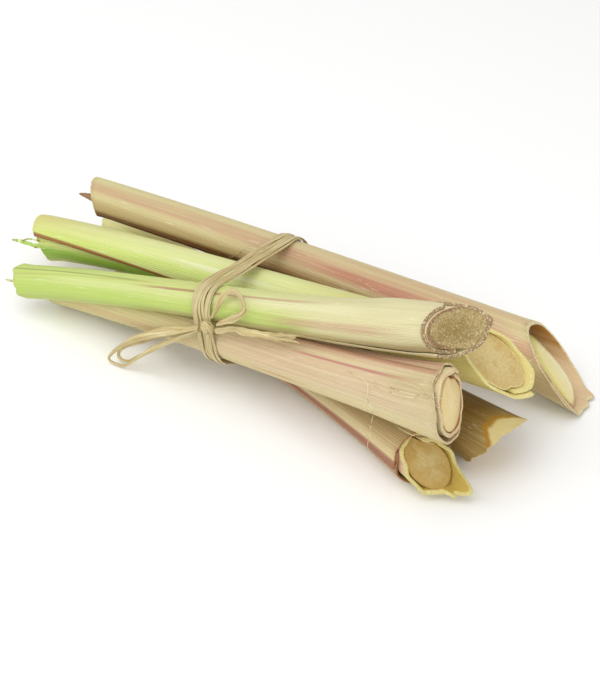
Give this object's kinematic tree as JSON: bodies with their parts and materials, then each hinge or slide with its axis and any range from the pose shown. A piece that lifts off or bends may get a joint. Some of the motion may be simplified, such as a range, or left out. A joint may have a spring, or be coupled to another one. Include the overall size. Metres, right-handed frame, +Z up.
{
  "type": "tied bundle of lemongrass stalks",
  "caption": "Cut lemongrass stalks lying in a loose bundle, tied round the middle with raffia and a small bow, with rolled leaf sheaths and cut bases.",
  "frame": {"origin": "on the table under the middle of the bundle's box, measured without the free strands of the bow", "axes": "+X along the bundle towards the fat cut bases, +Y away from the bow, +Z up"},
  "size_m": [0.2173, 0.0875, 0.0648],
  "materials": {
    "stalk_pink": "satin leaf sheath, cream with pink streaks",
    "stalk_green": "satin leaf sheath, light green to cream",
    "stalk_olive": "satin leaf sheath, olive brown",
    "sheath_inner": "satin inner sheath, pale yellow",
    "core_pale": "moist cut heart, pale yellow",
    "core_tan": "drying cut heart, tan and fibrous",
    "raffia": "dry raffia fibre, slightly glossy"
  },
  "bodies": {
    "root": {"rear_outer_sheath": "stalk_pink", "rear_inner_sheath": "sheath_inner", "rear_core": "core_pale", "upper_outer_sheath": "stalk_green", "upper_core": "core_tan", "green_outer_sheath": "stalk_green", "green_core": "core_tan", "front_outer_sheath": "stalk_pink", "front_inner_sheath": "sheath_inner", "front_core": "core_pale", "low_front_outer_sheath": "stalk_pink", "low_front_inner_sheath": "sheath_inner", "low_front_core": "core_tan", "low_middle_outer_sheath": "stalk_olive", "low_middle_core": "core_tan", "raffia_turn_left": "raffia", "raffia_turn_right": "raffia", "raffia_knot": "raffia", "raffia_left_loop_outer": "raffia", "raffia_left_loop_inner": "raffia", "raffia_right_loop": "raffia", "raffia_tail": "raffia"}
  },
  "joints": []
}
